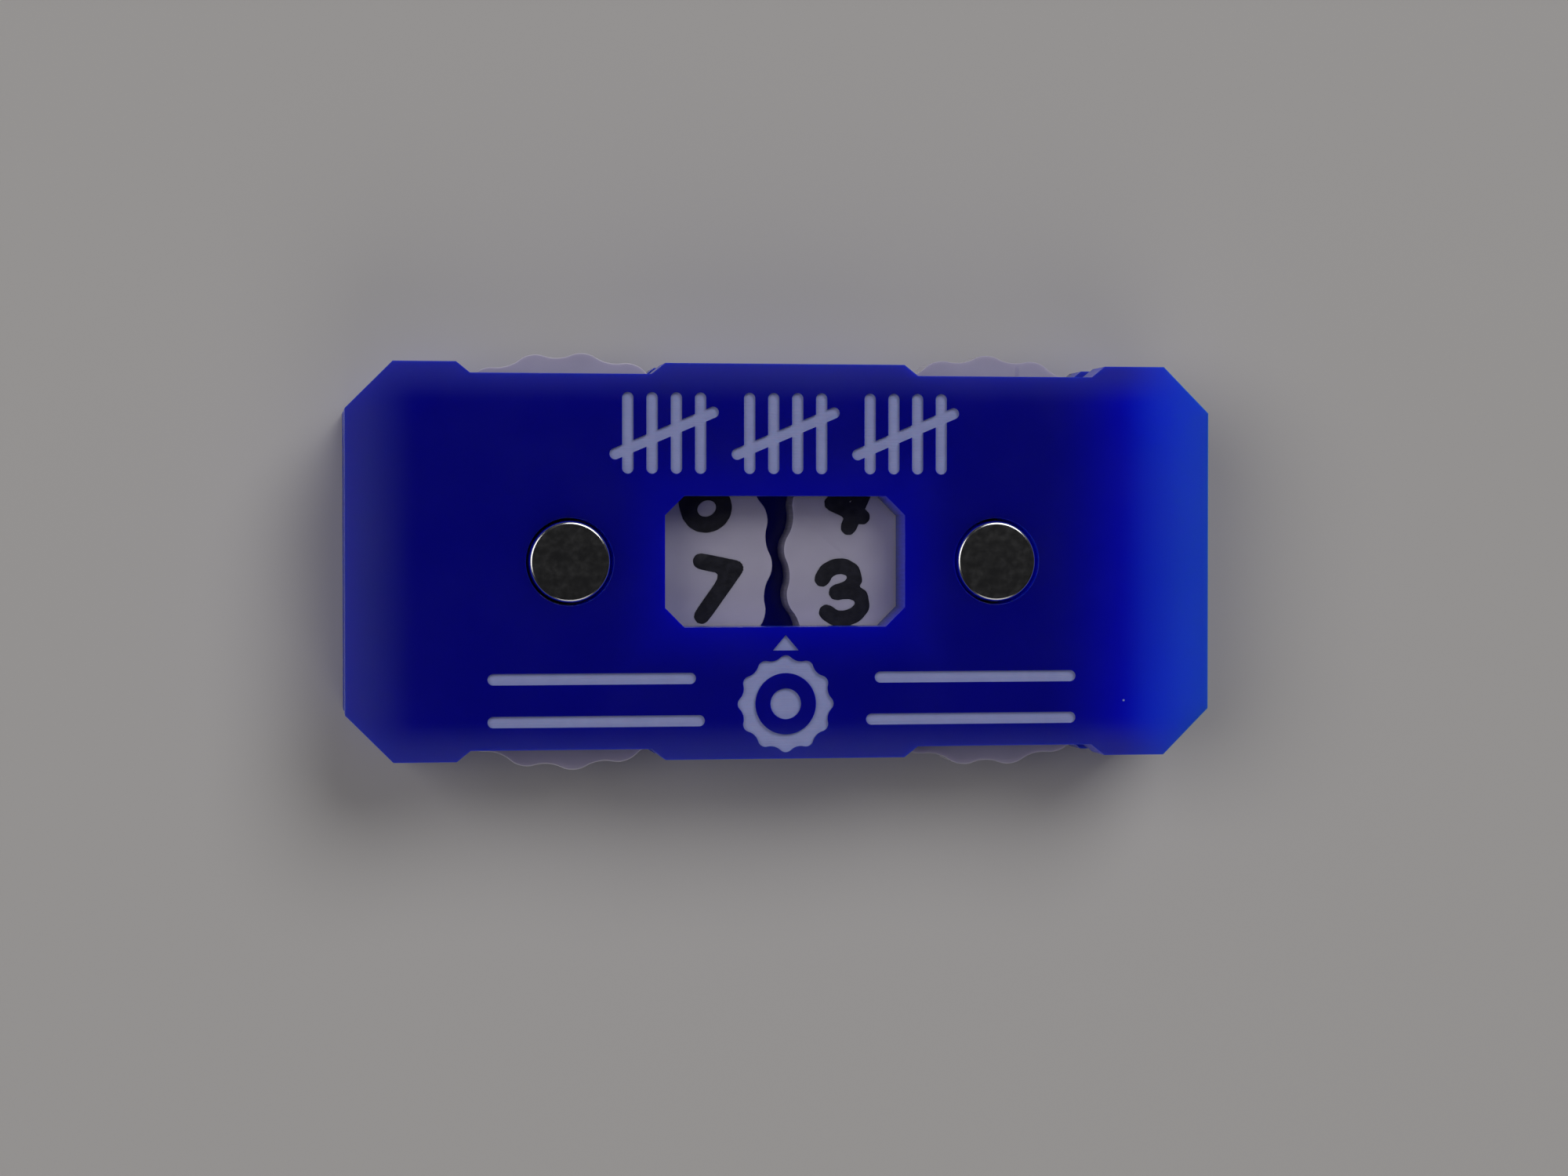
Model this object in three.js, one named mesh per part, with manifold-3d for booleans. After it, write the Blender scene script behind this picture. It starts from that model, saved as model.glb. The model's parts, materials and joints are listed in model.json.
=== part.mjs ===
// Desk counter with two thumb dials, laser-cut from acrylic sheet.
// Two identical plates hold two lobed number dials between them. Three disc magnets stacked
// on each dial's axis are its axle, and they hold the plates together. Millimetres, +Z up.
// The origin is the middle of the underside, X runs along the plates, and the reader looks
// down on the top plate with +Y away from them.

import * as THREE from 'three';
import { mergeVertices } from 'three/addons/utils/BufferGeometryUtils.js';
import Module from 'manifold-3d';

// ---- Driving dimensions ----------------------------------------------------------------

// Sheets and magnets
const PLATE_THICKNESS = 3;
const DIAL_THICKNESS = 2.8;
const DIAL_PLAY = 0.1; // between a dial's face and the plate above or below it
const MAGNET_DIAMETER = 5;
const MAGNET_CHAMFER = 0.22;
const MAGNET_SEAT_CLEARANCE = 0.2; // around a magnet in its plate hole
const BORE_CLEARANCE = 0.1; // around the axle magnet in a dial's bore

// Dials
const DIAL_RADIUS = 13.05; // over the crests of the lobes
const LOBE_COUNT = 25;
const LOBE_HEIGHT = 0.42; // crest to trough
const DIAL_GAP = 0.6; // between the crests of the two dials

// Plates around the dials
const END_COVER = 0.6; // from a dial's crest to the end of the plates
const DIAL_PROUD = 0.85; // how far the crests stand out past the long edges
const CORNER_CUT = 2.9;
const NOTCH_MOUTH = 12.8;
const NOTCH_SLOPE = 0.85; // run of the slanted side of a notch
const NOTCH_DEPTH = 0.68;
const NOTCH_OFFSET = 0.53; // outwards from the dial's axis to the middle of the notch

// Numbers on the dials: pockets filled with black enamel
const DIGIT_COUNT = 10;
const DIGIT_WIDTH = 3.25;
const DIGIT_WEIGHT = 0.23; // stroke width over height
const DIGIT_SPACING = 0.7; // between the inner corners of neighbouring numbers
const DIGIT_RIM_MARGIN = 2.02; // from a number's outer edge to the crest of the lobes
const FILL_DEPTH = 0.35;
const FILL_CLEARANCE = 0.04; // around and below the enamel in its pocket

// Window in the top plate
const WINDOW_WIDTH = 8.1;
const WINDOW_CORNER_CUT = 1.2;
const WINDOW_DIGIT_MARGIN = 1.93; // from a number's inner edge to the end of the window

// Engraving on the top plate
const ENGRAVING_DEPTH = 0.2;
const LINE_WIDTH = 0.7;
const TALLY_GROUPS = 3;
const TALLY_GROUP_PITCH = 7.55;
const TALLY_STROKES = 4;
const TALLY_STROKE_PITCH = 1.5;
const TALLY_SLASH_OVERHANG = 0.75; // from the outer strokes to the ends of the slash
const TALLY_SLASH_INSET = 0.85; // the slash stops this far short of the uprights' ends
const TALLY_WINDOW_GAP = 1.35;
const TALLY_EDGE_MARGIN = 1.8;
const STRIPE_EDGE_MARGIN = 2.4;
const STRIPE_PITCH = 2.61;
const STRIPE_END_MARGIN = 8.6;
const STRIPE_BADGE_GAP = 2;
const STRIPE_STAGGER = 0.55; // the upper stripes start this much further out
const BADGE_LOBES = 12;
const BADGE_LOBE_HEIGHT = 0.3;
const BADGE_EDGE_MARGIN = 0.35;
const BADGE_HOLE = 0.623; // radius over the badge's own
const BADGE_HUB = 0.3115; // the same
const POINTER_HEIGHT = 0.95;
const POINTER_WIDTH = 1.6;
const POINTER_WINDOW_GAP = 0.5;
const POINTER_BADGE_GAP = 0.25;

// The numbers that the dials show, and how far each dial is turned from square
const DIALS = [
  { name: 'tens', side: -1, shown: 7, turn: -11.5, lobeTurn: -1.4 },
  { name: 'units', side: 1, shown: 3, turn: 12, lobeTurn: 10.8 },
];

// Facets
const CIRCLE_SEGMENTS = 32;
const POINTS_PER_LOBE = 5;
const CAP_SEGMENTS = 4; // in the half circle that ends a stroke
const CURVE_SEGMENTS = 7; // along a curved stroke
const LOOP_SEGMENTS = 16; // around a closed stroke

// ---- Sizes worked out from them --------------------------------------------------------

const AXIS_X = DIAL_RADIUS + DIAL_GAP / 2;
const HALF_LENGTH = AXIS_X + DIAL_RADIUS + END_COVER;
const HALF_WIDTH = DIAL_RADIUS - DIAL_PROUD;
const LAYER_GAP = DIAL_THICKNESS + 2 * DIAL_PLAY;
const DIAL_Z = PLATE_THICKNESS + DIAL_PLAY;
const TOP_PLATE_Z = PLATE_THICKNESS + LAYER_GAP;
const TOP_Z = TOP_PLATE_Z + PLATE_THICKNESS;

const SEAT_RADIUS = MAGNET_DIAMETER / 2 + MAGNET_SEAT_CLEARANCE;
const BORE_RADIUS = MAGNET_DIAMETER / 2 + BORE_CLEARANCE;

const DIGIT_STEP = 360 / DIGIT_COUNT;
const DIGIT_RADIUS = DIAL_RADIUS - DIGIT_RIM_MARGIN - DIGIT_WIDTH / 2;
const DIGIT_INNER_RADIUS = DIGIT_RADIUS - DIGIT_WIDTH / 2;
const HALF_STEP = THREE.MathUtils.degToRad(DIGIT_STEP / 2);
const DIGIT_HEIGHT = 2 * DIGIT_INNER_RADIUS * Math.tan(HALF_STEP) - DIGIT_SPACING;
const DIGIT_STROKE = DIGIT_HEIGHT * DIGIT_WEIGHT;

const WINDOW_HALF_LENGTH = AXIS_X - DIGIT_INNER_RADIUS + WINDOW_DIGIT_MARGIN;
const WINDOW_HALF_WIDTH = WINDOW_WIDTH / 2;
const BAND = HALF_WIDTH - WINDOW_HALF_WIDTH; // plate left above and below the window

// ---- Solids ----------------------------------------------------------------------------

const wasm = await Module();
wasm.setup();

/** A manifold solid from a closed three.js geometry. */
function solidOf(geometry) {
  const bare = geometry.clone();
  bare.deleteAttribute('normal');
  bare.deleteAttribute('uv');
  const welded = mergeVertices(bare, 1e-5);
  return new wasm.Manifold(new wasm.Mesh({
    numProp: 3,
    vertProperties: new Float32Array(welded.attributes.position.array),
    triVerts: new Uint32Array(welded.index.array),
  }));
}

/** A three.js geometry from a manifold solid. */
function geometryOf(solid) {
  const mesh = solid.getMesh();
  const geometry = new THREE.BufferGeometry();
  geometry.setAttribute('position', new THREE.BufferAttribute(mesh.vertProperties, 3));
  geometry.setIndex(new THREE.BufferAttribute(mesh.triVerts, 1));
  const flat = geometry.toNonIndexed();
  flat.computeVertexNormals();
  return flat;
}

/** A flat shape given thickness, from bottom up to top. */
function slab(shape, bottom, top) {
  const geometry = new THREE.ExtrudeGeometry(shape, {
    depth: top - bottom,
    bevelEnabled: false,
    curveSegments: CIRCLE_SEGMENTS / 2,
  });
  geometry.translate(0, 0, bottom);
  return solidOf(geometry);
}

/** All the solids joined into one. */
function joined(solids) {
  return solids.reduce((whole, solid) => whole.add(solid));
}

/** A closed outline through points given as [x, y]. */
function outline(points) {
  return new THREE.Shape(points.map(([x, y]) => new THREE.Vector2(x, y)));
}

/** A circle as a shape. */
function disc(radius, x = 0, y = 0) {
  const shape = new THREE.Shape();
  shape.absarc(x, y, radius, 0, 2 * Math.PI);
  return shape;
}

/** A closed wavy rim: count lobes, the first crest at angle firstCrest in degrees. */
function lobedDisc(crestRadius, lobeHeight, count, firstCrest, x = 0, y = 0) {
  const steps = count * POINTS_PER_LOBE;
  const first = THREE.MathUtils.degToRad(firstCrest);
  const points = [];
  for (let i = 0; i < steps; i += 1) {
    const angle = first + (2 * Math.PI * i) / steps;
    const wave = (1 - Math.cos(count * (angle - first))) / 2;
    const radius = crestRadius - lobeHeight * wave;
    points.push([x + radius * Math.cos(angle), y + radius * Math.sin(angle)]);
  }
  return outline(points);
}

/** A brush stroke of even width with round ends, along a smooth open path. */
function ribbon(path, width) {
  const straight = path.curves.every((curve) => curve.isLineCurve);
  const spine = straight ? path.getPoints(1) : path.getSpacedPoints(CURVE_SEGMENTS);
  const last = spine.length - 1;
  const headings = spine.map((point, i) => {
    const before = spine[Math.max(i - 1, 0)];
    const after = spine[Math.min(i + 1, last)];
    return after.clone().sub(before).angle();
  });
  const around = (i, angle) => [
    spine[i].x + (width / 2) * Math.cos(angle),
    spine[i].y + (width / 2) * Math.sin(angle),
  ];
  const points = [];
  for (let i = 0; i < last; i += 1) {
    points.push(around(i, headings[i] - Math.PI / 2));
  }
  for (let step = 0; step <= CAP_SEGMENTS; step += 1) {
    points.push(around(last, headings[last] - Math.PI / 2 + (Math.PI * step) / CAP_SEGMENTS));
  }
  for (let i = last - 1; i > 0; i -= 1) {
    points.push(around(i, headings[i] + Math.PI / 2));
  }
  for (let step = 0; step <= CAP_SEGMENTS; step += 1) {
    points.push(around(0, headings[0] + Math.PI / 2 + (Math.PI * step) / CAP_SEGMENTS));
  }
  return outline(points);
}

/** A straight stroke's path. */
function line(fromX, fromY, toX, toY) {
  return new THREE.Path().moveTo(fromX, fromY).lineTo(toX, toY);
}

/** A curved stroke's path: part of an ellipse, turned clockwise, angles in degrees. */
function arc(x, y, radiusX, radiusY, from, to) {
  const { degToRad } = THREE.MathUtils;
  const path = new THREE.Path();
  path.absellipse(x, y, radiusX, radiusY, degToRad(from), degToRad(to), true);
  return path;
}

/** A curved stroke's path with one bend. */
function bend(fromX, fromY, viaX, viaY, toX, toY) {
  return new THREE.Path().moveTo(fromX, fromY).quadraticCurveTo(viaX, viaY, toX, toY);
}

/** A closed stroke's path: an ellipse. */
function loop(x, y, radiusX, radiusY) {
  return { x, y, radiusX, radiusY };
}

/** The ring that a closed stroke of even width covers. */
function ringShape({ x, y, radiusX, radiusY }, width) {
  const ellipse = (grow) => {
    const points = [];
    for (let i = 0; i < LOOP_SEGMENTS; i += 1) {
      const angle = (2 * Math.PI * i) / LOOP_SEGMENTS;
      points.push([
        x + (radiusX + grow) * Math.cos(angle),
        y + (radiusY + grow) * Math.sin(angle),
      ]);
    }
    return outline(points);
  };
  const shape = ellipse(width / 2);
  shape.holes.push(ellipse(-width / 2));
  return shape;
}

// ---- Numbers ---------------------------------------------------------------------------

const W = (DIGIT_WIDTH - DIGIT_STROKE) / 2; // half width of a number's centre lines
const H = (DIGIT_HEIGHT - DIGIT_STROKE) / 2; // half height of a number's centre lines

const GLYPHS = [
  [loop(0, 0, W, H)],
  [line(-0.55 * W, 0.55 * H, 0.15 * W, H), line(0.15 * W, H, 0.15 * W, -H)],
  [
    arc(0, 0.42 * H, W, 0.58 * H, 170, -35),
    line(0.82 * W, 0.09 * H, -W, -H),
    line(-W, -H, W, -H),
  ],
  [
    arc(-0.1 * W, 0.52 * H, 0.95 * W, 0.48 * H, 165, -90),
    line(-0.38 * W, 0.04 * H, 0.3 * W, 0.04 * H),
    arc(-0.1 * W, -0.48 * H, 1.1 * W, 0.52 * H, 90, -165),
  ],
  [
    line(0.4 * W, H, -W, -0.42 * H),
    line(-W, -0.42 * H, 0.88 * W, -0.42 * H),
    line(0.4 * W, H, 0.4 * W, -H),
  ],
  [
    line(0.85 * W, H, -0.7 * W, H),
    line(-0.7 * W, H, -0.85 * W, 0.02 * H),
    arc(-0.08 * W, -0.38 * H, 1.08 * W, 0.62 * H, 130, -155),
  ],
  [bend(0.6 * W, H, -0.95 * W, 0.85 * H, -W, -0.4 * H), loop(0, -0.4 * H, W, 0.6 * H)],
  [line(-W, H, W, H), line(W, H, -0.33 * W, -H)],
  [loop(0, 0.52 * H, 0.84 * W, 0.48 * H), loop(0, -0.42 * H, W, 0.58 * H)],
  [bend(-0.6 * W, -H, 0.95 * W, -0.85 * H, W, 0.4 * H), loop(0, 0.4 * H, W, 0.6 * H)],
];

/** One number as a solid, its middle on the origin and its foot towards -Y. */
function digitSolid(digit, strokeWidth, bottom, top) {
  const strokes = GLYPHS[digit].map((stroke) => (
    stroke.curves ? ribbon(stroke, strokeWidth) : ringShape(stroke, strokeWidth)
  ));
  return joined(strokes.map((shape) => slab(shape, bottom, top)));
}

/** A number moved to its place on a dial, in the dial's own frame. */
function onDial(solid, dial, digit) {
  const turn = dial.turn - (digit - dial.shown) * DIGIT_STEP;
  const outwards = dial.side < 0 ? 1 : -1;
  return solid.translate([outwards * DIGIT_RADIUS, 0, 0]).rotate([0, 0, turn]);
}

// ---- Engraving on the top plate --------------------------------------------------------

const TALLY_HEIGHT = BAND - TALLY_WINDOW_GAP - TALLY_EDGE_MARGIN;
const TALLY_Y = WINDOW_HALF_WIDTH + TALLY_WINDOW_GAP + TALLY_HEIGHT / 2;
const POINTER_TIP_Y = -(WINDOW_HALF_WIDTH + POINTER_WINDOW_GAP);
const BADGE_TOP_Y = POINTER_TIP_Y - POINTER_HEIGHT - POINTER_BADGE_GAP;
const BADGE_BOTTOM_Y = -(HALF_WIDTH - BADGE_EDGE_MARGIN);
const BADGE_Y = (BADGE_TOP_Y + BADGE_BOTTOM_Y) / 2;
const BADGE_RADIUS = (BADGE_TOP_Y - BADGE_BOTTOM_Y) / 2;

/** One group of tally marks: upright strokes crossed by a slash, centred on x. */
function tallyGroup(x) {
  const reach = (TALLY_HEIGHT - LINE_WIDTH) / 2;
  const halfSpan = ((TALLY_STROKES - 1) * TALLY_STROKE_PITCH) / 2;
  const slashReach = halfSpan + TALLY_SLASH_OVERHANG;
  const slashRise = reach - TALLY_SLASH_INSET;
  const paths = [
    line(x - slashReach, TALLY_Y - slashRise, x + slashReach, TALLY_Y + slashRise),
  ];
  for (let i = 0; i < TALLY_STROKES; i += 1) {
    const strokeX = x - halfSpan + i * TALLY_STROKE_PITCH;
    paths.push(line(strokeX, TALLY_Y - reach, strokeX, TALLY_Y + reach));
  }
  return paths.map((path) => ribbon(path, LINE_WIDTH));
}

/** The four stripes beside the badge. */
function stripes() {
  const lowerY = -(HALF_WIDTH - STRIPE_EDGE_MARGIN);
  const outerX = HALF_LENGTH - STRIPE_END_MARGIN - LINE_WIDTH / 2;
  const shapes = [];
  for (const side of [-1, 1]) {
    for (const row of [0, 1]) {
      const y = lowerY + row * STRIPE_PITCH;
      const innerX = BADGE_RADIUS + STRIPE_BADGE_GAP + row * STRIPE_STAGGER + LINE_WIDTH / 2;
      shapes.push(ribbon(line(side * innerX, y, side * outerX, y), LINE_WIDTH));
    }
  }
  return shapes;
}

/** A small lobed wheel with a hub, and a pointer above it aimed at the window. */
function badge() {
  const wheel = lobedDisc(BADGE_RADIUS, BADGE_LOBE_HEIGHT, BADGE_LOBES, 90, 0, BADGE_Y);
  wheel.holes.push(disc(BADGE_RADIUS * BADGE_HOLE, 0, BADGE_Y));
  const hub = disc(BADGE_RADIUS * BADGE_HUB, 0, BADGE_Y);
  const pointer = outline([
    [-POINTER_WIDTH / 2, POINTER_TIP_Y - POINTER_HEIGHT],
    [POINTER_WIDTH / 2, POINTER_TIP_Y - POINTER_HEIGHT],
    [0, POINTER_TIP_Y],
  ]);
  return [wheel, hub, pointer];
}

/** All the engraving as one cutter that reaches down into the top plate. */
function engravingCutter() {
  const shapes = [...stripes(), ...badge()];
  for (let i = 0; i < TALLY_GROUPS; i += 1) {
    shapes.push(...tallyGroup((i - (TALLY_GROUPS - 1) / 2) * TALLY_GROUP_PITCH));
  }
  const above = TOP_Z + PLATE_THICKNESS;
  return joined(shapes.map((shape) => slab(shape, TOP_Z - ENGRAVING_DEPTH, above)));
}

// ---- Plates ----------------------------------------------------------------------------

/** The outline that both plates share, with a magnet hole on each dial's axis. */
function plateShape() {
  const notchX = AXIS_X + NOTCH_OFFSET;
  const innerX = notchX - NOTCH_MOUTH / 2;
  const outerX = notchX + NOTCH_MOUTH / 2;
  const quarter = [
    [HALF_LENGTH, HALF_WIDTH - CORNER_CUT],
    [HALF_LENGTH - CORNER_CUT, HALF_WIDTH],
    [outerX, HALF_WIDTH],
    [outerX - NOTCH_SLOPE, HALF_WIDTH - NOTCH_DEPTH],
    [innerX + NOTCH_SLOPE, HALF_WIDTH - NOTCH_DEPTH],
    [innerX, HALF_WIDTH],
  ];
  const back = quarter.map(([x, y]) => [-x, y]).reverse();
  const half = [...quarter, ...back];
  const front = half.map(([x, y]) => [-x, -y]);
  const shape = outline([...half, ...front]);
  for (const { side } of DIALS) {
    shape.holes.push(disc(SEAT_RADIUS, side * AXIS_X, 0));
  }
  return shape;
}

/** The window: a rectangle with its corners cut off. */
function windowShape() {
  const cut = WINDOW_CORNER_CUT;
  const half = [
    [WINDOW_HALF_LENGTH, -WINDOW_HALF_WIDTH + cut],
    [WINDOW_HALF_LENGTH, WINDOW_HALF_WIDTH - cut],
    [WINDOW_HALF_LENGTH - cut, WINDOW_HALF_WIDTH],
    [-WINDOW_HALF_LENGTH + cut, WINDOW_HALF_WIDTH],
  ];
  return outline([...half, ...half.map(([x, y]) => [-x, -y])]);
}

function bottomPlate() {
  return slab(plateShape(), 0, PLATE_THICKNESS);
}

function topPlate() {
  const shape = plateShape();
  shape.holes.push(windowShape());
  return slab(shape, TOP_PLATE_Z, TOP_Z).subtract(engravingCutter());
}

// ---- Magnets and dials -----------------------------------------------------------------

/** A chamfered disc magnet that stands on z = 0. */
function magnet(height) {
  const radius = MAGNET_DIAMETER / 2;
  const profile = [
    [0, 0],
    [radius - MAGNET_CHAMFER, 0],
    [radius, MAGNET_CHAMFER],
    [radius, height - MAGNET_CHAMFER],
    [radius - MAGNET_CHAMFER, height],
    [0, height],
  ].map(([x, y]) => new THREE.Vector2(x, y));
  const geometry = new THREE.LatheGeometry(profile, CIRCLE_SEGMENTS);
  geometry.rotateX(Math.PI / 2);
  return solidOf(geometry);
}

/** A dial with its bore and number pockets, standing on z = 0 about its own axis. */
function dialSolid(dial) {
  const firstCrest = (dial.side < 0 ? 0 : 180) + dial.lobeTurn;
  const rim = lobedDisc(DIAL_RADIUS, LOBE_HEIGHT, LOBE_COUNT, firstCrest);
  rim.holes.push(disc(BORE_RADIUS));
  const floor = DIAL_THICKNESS - FILL_DEPTH - FILL_CLEARANCE;
  const pocketWidth = DIGIT_STROKE + 2 * FILL_CLEARANCE;
  let solid = slab(rim, 0, DIAL_THICKNESS);
  for (let digit = 0; digit < DIGIT_COUNT; digit += 1) {
    const pocket = digitSolid(digit, pocketWidth, floor, 2 * DIAL_THICKNESS);
    solid = solid.subtract(onDial(pocket, dial, digit));
  }
  return solid;
}

/** The enamel that fills one number's pocket, in the dial's own frame. */
function fillSolid(dial, digit) {
  const bottom = DIAL_THICKNESS - FILL_DEPTH;
  return onDial(digitSolid(digit, DIGIT_STROKE, bottom, DIAL_THICKNESS), dial, digit);
}

// ---- Scene graph -----------------------------------------------------------------------

const blueAcrylic = () => new THREE.MeshStandardMaterial({
  color: '#0b0a78', roughness: 0.35, metalness: 0,
});
const opalAcrylic = () => new THREE.MeshStandardMaterial({
  color: '#d9d2e0', roughness: 0.4, metalness: 0,
});
const blackEnamel = () => new THREE.MeshStandardMaterial({
  color: '#141416', roughness: 0.6, metalness: 0,
});
const nickel = () => new THREE.MeshStandardMaterial({
  color: '#a9abb3', roughness: 0.2, metalness: 1,
});

/** A named mesh from a manifold solid. */
function piece(name, solid, material) {
  const mesh = new THREE.Mesh(geometryOf(solid), material);
  mesh.name = name;
  return mesh;
}

/** One dial with its ten filled numbers, turning about the group's own Z axis. */
function dialGroup(dial) {
  const group = new THREE.Group();
  group.position.set(dial.side * AXIS_X, 0, DIAL_Z);
  group.add(piece(`${dial.name}_dial`, dialSolid(dial), opalAcrylic()));
  for (let digit = 0; digit < DIGIT_COUNT; digit += 1) {
    group.add(piece(`${dial.name}_digit_${digit}`, fillSolid(dial, digit), blackEnamel()));
  }
  return group;
}

/** The stack of three magnets on one dial's axis. */
function magnetStack(dial) {
  const group = new THREE.Group();
  group.position.set(dial.side * AXIS_X, 0, 0);
  const layers = [
    { name: 'bottom', bottom: 0, height: PLATE_THICKNESS },
    { name: 'axle', bottom: PLATE_THICKNESS, height: LAYER_GAP },
    { name: 'top', bottom: TOP_PLATE_Z, height: PLATE_THICKNESS },
  ];
  for (const { name, bottom, height } of layers) {
    const mesh = piece(`${dial.name}_${name}_magnet`, magnet(height), nickel());
    mesh.position.z = bottom;
    group.add(mesh);
  }
  return group;
}

const counter = new THREE.Group();
counter.add(piece('bottom_plate', bottomPlate(), blueAcrylic()));
counter.add(piece('top_plate', topPlate(), blueAcrylic()));
for (const dial of DIALS) {
  counter.add(dialGroup(dial));
  counter.add(magnetStack(dial));
}

export default counter;
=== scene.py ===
"""Twin-dial desk counter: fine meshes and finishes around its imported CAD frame.

Two blue acrylic plates hold two opal number dials, and stacked disc magnets are the dials' axles.
Lengths are metres in the frame's own axes, with +Z up and the underside at zero.
"""

import json
import logging
import math
from collections.abc import Callable, Iterator, Sequence
from contextlib import contextmanager
from dataclasses import dataclass, field
from enum import Enum

import bmesh
import bpy
from mathutils import Matrix, Vector

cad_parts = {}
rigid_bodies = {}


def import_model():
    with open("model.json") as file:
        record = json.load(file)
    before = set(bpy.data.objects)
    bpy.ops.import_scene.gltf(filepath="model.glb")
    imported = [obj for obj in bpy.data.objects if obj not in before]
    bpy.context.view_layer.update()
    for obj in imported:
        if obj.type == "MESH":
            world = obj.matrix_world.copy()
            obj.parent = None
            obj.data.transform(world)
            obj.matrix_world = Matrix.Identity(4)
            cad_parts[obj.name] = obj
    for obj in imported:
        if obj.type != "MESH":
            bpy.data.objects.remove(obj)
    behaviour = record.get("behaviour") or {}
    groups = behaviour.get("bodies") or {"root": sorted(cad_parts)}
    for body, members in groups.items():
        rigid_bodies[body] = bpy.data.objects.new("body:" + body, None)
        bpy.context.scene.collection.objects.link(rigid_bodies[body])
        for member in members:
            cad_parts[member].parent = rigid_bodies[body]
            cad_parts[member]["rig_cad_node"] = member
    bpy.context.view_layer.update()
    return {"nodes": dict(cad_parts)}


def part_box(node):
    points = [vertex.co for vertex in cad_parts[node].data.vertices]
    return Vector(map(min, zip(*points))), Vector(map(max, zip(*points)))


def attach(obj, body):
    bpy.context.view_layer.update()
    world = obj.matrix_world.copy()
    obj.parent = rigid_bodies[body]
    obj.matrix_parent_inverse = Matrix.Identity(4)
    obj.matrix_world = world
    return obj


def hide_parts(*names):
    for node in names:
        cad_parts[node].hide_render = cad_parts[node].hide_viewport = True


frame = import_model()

log = logging.getLogger("desk_counter")

MM = 0.001
MERGE = 1e-4 * MM
SLIVER = 5 * MERGE

WALL_TILT = 0.9
LOBE_ROUNDING = 49.9  # percent of each side of the zigzag
LOBE_SEGMENTS = 6
LOBE_MERGE = 0.004 * MM

Colour = tuple[float, float, float]
Place = tuple[float, float, float]
Spot = tuple[float, float]
Span = tuple[float, float]


class Side(Enum):
    """Which dial a piece belongs to: its name and the sign of its axis along X."""

    TENS = ("tens", -1)
    UNITS = ("units", 1)

    @property
    def label(self) -> str:
        """The dial's name."""
        return self.value[0]

    @property
    def sign(self) -> int:
        """-1 on the left and 1 on the right."""
        return self.value[1]

    @property
    def body(self) -> str:
        """The frame body that turns with this dial."""
        return f"{self.label}_wheel"


FIRST_CRESTS = {Side.TENS: -1.4, Side.UNITS: 190.8}  # degrees from +X


class Layer(Enum):
    """The place of a disc magnet in its stack."""

    BOTTOM = "bottom"
    AXLE = "axle"
    TOP = "top"


class Slot(Enum):
    """The record's material slots."""

    BLUE = "blue_acrylic"
    OPAL = "opal_acrylic"
    ENAMEL = "black_enamel"
    NICKEL = "nickel_plating"


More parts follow.
